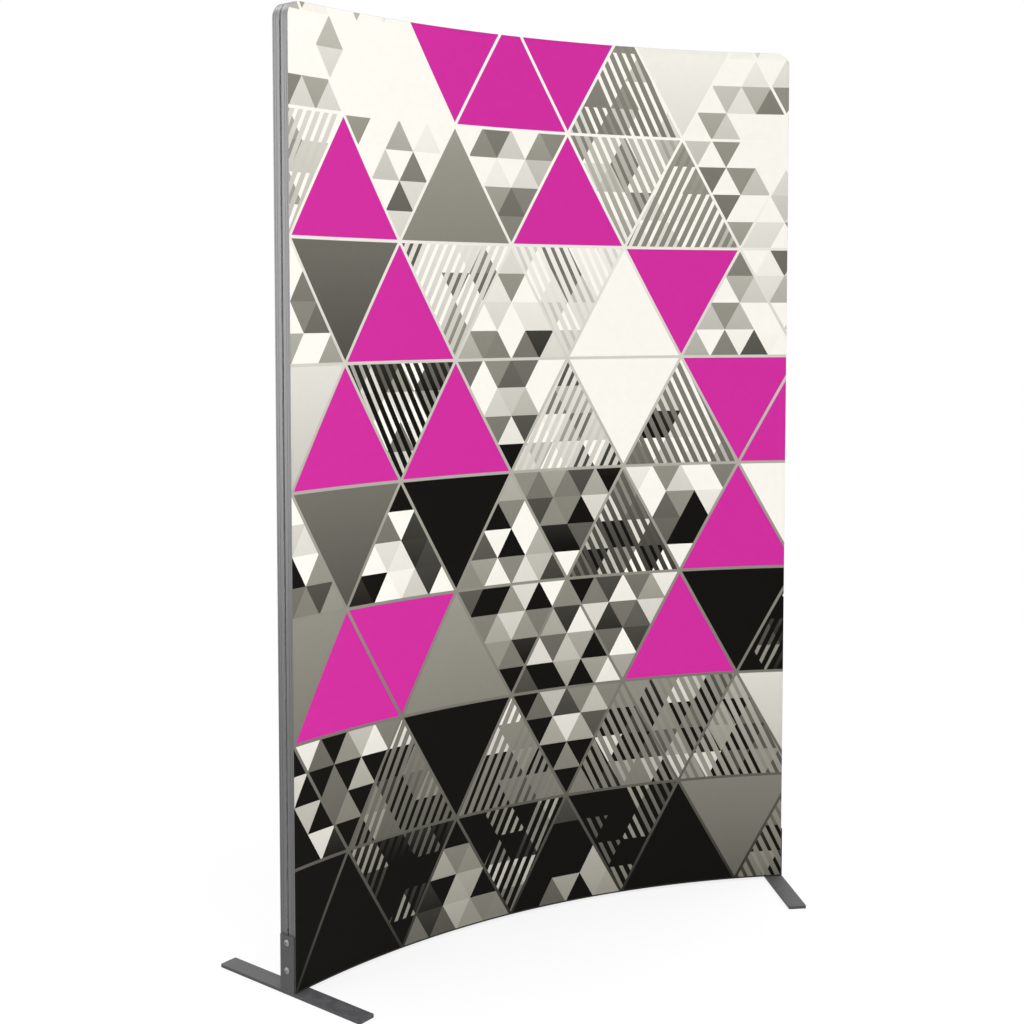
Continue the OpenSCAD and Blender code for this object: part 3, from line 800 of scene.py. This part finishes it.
def make_mosaic():
    """Large triangles of the four kinds. Tones are random, with a share of the height added, so
    that they grow lighter up the sheet."""
    group, given, out = new_group("mosaic print", [("Point", "Vector", None)],
                                  [("Colour", "Color", None)])
    parts = parts_of(group, given["Point"])
    large = use_group(group, TRIANGLES, {"Point": given["Point"], "Side": LARGE_SIDE})
    small = use_group(group, TRIANGLES, {"Point": given["Point"], "Side": SMALL_SIDE})
    light = remap(group, parts["Y"], 0.0, LIGHTEN_HEIGHT, -LIGHTEN, LIGHTEN)
    large_tone = maths(group, "ADD", random_of(group, large["Cell"], 3.1), light)
    small_tone = maths(group, "ADD", random_of(group, small["Cell"], 7.7), light)
    plain = tone_colour(group, large_tone)
    split = tone_colour(group, small_tone)
    lined = blend_colour(group, lines_of(group, parts, large["Cell"]), plain, split)

    kind = random_of(group, large["Cell"], 11.3)
    colour = blend_colour(group, maths(group, "GREATER_THAN", kind, SPLIT_FROM), plain, split)
    colour = blend_colour(group, maths(group, "GREATER_THAN", kind, LINED_FROM), colour, lined)
    bright = maths(group, "MULTIPLY", maths(group, "GREATER_THAN", kind, MAGENTA_FROM),
                   maths(group, "GREATER_THAN", parts["Y"], MAGENTA_LOWEST))
    colour = blend_colour(group, bright, colour, MAGENTA)
    keyline = remap(group, large["Edge"], *KEYLINE_EDGE, 1.0, 0.0)
    keyline_colour = tone_colour(group, maths(group, "ADD", light, KEYLINE_TONE))
    group.links.new(blend_colour(group, keyline, colour, keyline_colour), out["Colour"])
    return group


MOSAIC = make_mosaic()
print("pattern group:", MOSAIC.name)


# %% Group: knitted cloth
FACE_PITCH, BACK_PITCH = 0.0008, 0.001   # the knit's stitches, in metres
FUZZ_CELLS = 45.0                        # cells to the metre of the cloth's slow unevenness


def make_knit():
    """Height is the product of two sines along and across, each with a period of the pitch;
    fuzz is a slow noise."""
    group, given, out = new_group("knit",
                                  [("Point", "Vector", None), ("Pitch", "Float", FACE_PITCH)],
                                  [("Height", "Float", None), ("Fuzz", "Float", None)])
    parts = parts_of(group, given["Point"])
    rate = maths(group, "DIVIDE", 2 * math.pi, given["Pitch"])
    rows = maths(group, "SINE", maths(group, "MULTIPLY", parts["Y"], rate))
    loops = maths(group, "SINE", maths(group, "MULTIPLY", parts["X"], rate))
    group.links.new(maths(group, "MULTIPLY", rows, loops), out["Height"])
    fuzz = noise(group, given["Point"], FUZZ_CELLS, detail=5.0, roughness=0.6)
    group.links.new(fuzz, out["Fuzz"])
    return group


KNIT = make_knit()
print("pattern group:", KNIT.name)

# %% Materials: printed face and plain back
SHOW_THROUGH = 0.16      # how far the print shows on the back of the cloth


def cloth_material(name, pitch, **principled):
    """What both sides of the cloth start from: a material, the print's ink and a knit."""
    material, tree, shader = new_material(name, Roughness=0.85, **principled)
    point = add(tree, "ShaderNodeUVMap", uv_map="sheet_metres").outputs["UV"]
    ink = use_group(tree, MOSAIC, {"Point": point})["Colour"]
    knit = use_group(tree, KNIT, {"Point": point, "Pitch": pitch})
    return material, tree, shader, ink, knit


def printed_material():
    """The printed side: the mosaic, with a slight unevenness of the dye."""
    material, tree, shader, ink, knit = cloth_material(
        "printed_face", FACE_PITCH, Sheen_Weight=0.02, Specular_IOR_Level=0.06)
    dye = remap(tree, knit["Fuzz"], 0.3, 0.7, to_low=0.985, to_high=1.01)
    tree.links.new(scale_colour(tree, ink, dye), shader.inputs["Base Color"])
    bump(tree, shader, knit["Height"], strength=0.2, distance=0.00008)
    return material


def back_material():
    """The unprinted side: white polyester with the print showing through faintly."""
    material, tree, shader, ink, knit = cloth_material(
        "cloth_back", BACK_PITCH, Sheen_Weight=0.1, Specular_IOR_Level=0.25)
    cloth = blend_colour(tree, remap(tree, knit["Fuzz"], 0.3, 0.7), srgb(226, 225, 221),
                         srgb(234, 233, 230))
    tree.links.new(blend_colour(tree, SHOW_THROUGH, cloth, ink), shader.inputs["Base Color"])
    bump(tree, shader, knit["Height"], strength=0.3, distance=0.0001)
    return material


SHEET.data.materials.append(printed_material())
SHEET.data.materials.append(back_material())
WALL_BODY = "wall"
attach(SHEET, WALL_BODY)
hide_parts("fabric_sheet")
print("sheet stands for the frame's fabric_sheet")

# %% [markdown]
# ## Studio
#
# The photograph has no room around the wall, only white. A white floor and a plain white world
# keep that. To the camera, most of the floor's colour comes from itself, so that it meets the
# world without a horizon and keeps only a light shadow. The lamps are level enough that a colour
# looks about as it is written.

# %% Floor
FLOOR_OWN = 0.80         # share of the floor's look that no shadow touches
FLOOR_HALF = 40.0        # half the floor's width, in metres


def seen_directly(tree):
    """One where a ray comes from the camera, or from it by way of a mirror or glass."""
    path = add(tree, "ShaderNodeLightPath").outputs
    return maths(tree, "MAXIMUM", path["Is Camera Ray"],
                 maths(tree, "MAXIMUM", path["Is Glossy Ray"], path["Is Transmission Ray"]))


def make_floor():
    """A wide pale square under the feet: its own white in the given share, to the camera only,
    and lit for the rest."""
    corners = [(FLOOR_HALF * x, FLOOR_HALF * y, 0) for x, y in ((-1, -1), (1, -1), (1, 1), (-1, 1))]
    mesh = bpy.data.meshes.new("floor")
    mesh.from_pydata(corners, [], [(0, 1, 2, 3)])
    floor = bpy.data.objects.new("floor", mesh)
    bpy.context.scene.collection.objects.link(floor)
    material, tree, shader = new_material("studio_floor", Roughness=0.95, Specular_IOR_Level=0.0)
    cloud = noise(tree, object_place(tree), 2.0, detail=4.0)
    pale = blend_colour(tree, cloud, srgb(230, 230, 230), srgb(236, 236, 236))
    tree.links.new(pale, shader.inputs["Base Color"])
    own = add(tree, "ShaderNodeEmission", {"Color": (1, 1, 1, 1), "Strength": 1.0})
    share = maths(tree, "MULTIPLY", seen_directly(tree), FLOOR_OWN)
    mixed = add(tree, "ShaderNodeMixShader", {0: share, 1: shader.outputs[0], 2: own.outputs[0]})
    out = next(node for node in tree.nodes if node.type == "OUTPUT_MATERIAL")
    tree.links.new(mixed.outputs[0], out.inputs["Surface"])
    mesh.materials.append(material)


make_floor()
print("floor:", 2 * FLOOR_HALF, "m wide")

# %% World and lamps
AMBIENT = 0.42           # strength of the even light all round


def make_world():
    """Even pale light all round; what the camera and reflections see of it is white."""
    world = bpy.data.worlds.new("studio")
    bpy.context.scene.world = world
    world.use_nodes = True
    tree = world.node_tree
    tree.nodes.clear()
    ambient = add(tree, "ShaderNodeBackground", {"Color": (1, 1, 1, 1), "Strength": AMBIENT})
    white = add(tree, "ShaderNodeBackground", {"Color": (1, 1, 1, 1), "Strength": 1.0})
    mixed = add(tree, "ShaderNodeMixShader",
                {0: seen_directly(tree), 1: ambient.outputs[0], 2: white.outputs[0]})
    out = add(tree, "ShaderNodeOutputWorld")
    tree.links.new(mixed.outputs[0], out.inputs["Surface"])


def make_sun(name, strength, azimuth, elevation, spread):
    """A soft sun, its angles in degrees. Azimuth 0 shines from the viewer's side along +Y, 90
    from the right."""
    data = bpy.data.lights.new(name, "SUN")
    data.energy = strength
    data.angle = math.radians(spread)
    lamp = bpy.data.objects.new(name, data)
    lamp.rotation_euler = (math.radians(90 - elevation), 0, math.radians(azimuth))
    bpy.context.scene.collection.objects.link(lamp)


def make_softbox(name, power, place, aim, size, spread):
    """A lamp at a place, turned toward a point; size is its width and height, and its beam fades
    out at half the spread from the middle. The lamps at the sides light the end posts more at
    the top, and the rim lamp catches the bend of the left one."""
    data = bpy.data.lights.new(name, "AREA")
    data.shape = "RECTANGLE"
    data.energy = power
    data.size, data.size_y = size
    data.spread = math.radians(spread)
    lamp = bpy.data.objects.new(name, data)
    lamp.location = place
    lamp.rotation_euler = (Vector(aim) - Vector(place)).to_track_quat("-Z", "Y").to_euler()
    lamp.visible_camera = False
    bpy.context.scene.collection.objects.link(lamp)


make_world()
make_sun("key", strength=1.53, azimuth=20, elevation=55, spread=50)
make_sun("overhead", strength=0.85, azimuth=0, elevation=90, spread=60)
make_sun("back", strength=0.6, azimuth=180, elevation=40, spread=60)
for side, label in SIDES:
    make_softbox(f"{label} softbox", power=22.0, place=(2.55 * side, 0.25, 2.05),
                 aim=(0.78 * side, 0.0, 1.85), size=(1.4, 2.3), spread=120)
make_softbox("rim softbox", power=4.0, place=(-1.76, 1.66, 4.14), aim=(-0.77, 0.0, 2.42),
             size=(1.8, 0.8), spread=60)
print("studio: ambient", AMBIENT, "and six soft lamps")

# %% [markdown]
# ## View
#
# The Standard view shows a colour as it is written. A filmic one would grey the white floor.

# %% View settings
bpy.context.scene.view_settings.view_transform = "Standard"
print("view:", bpy.context.scene.view_settings.view_transform)
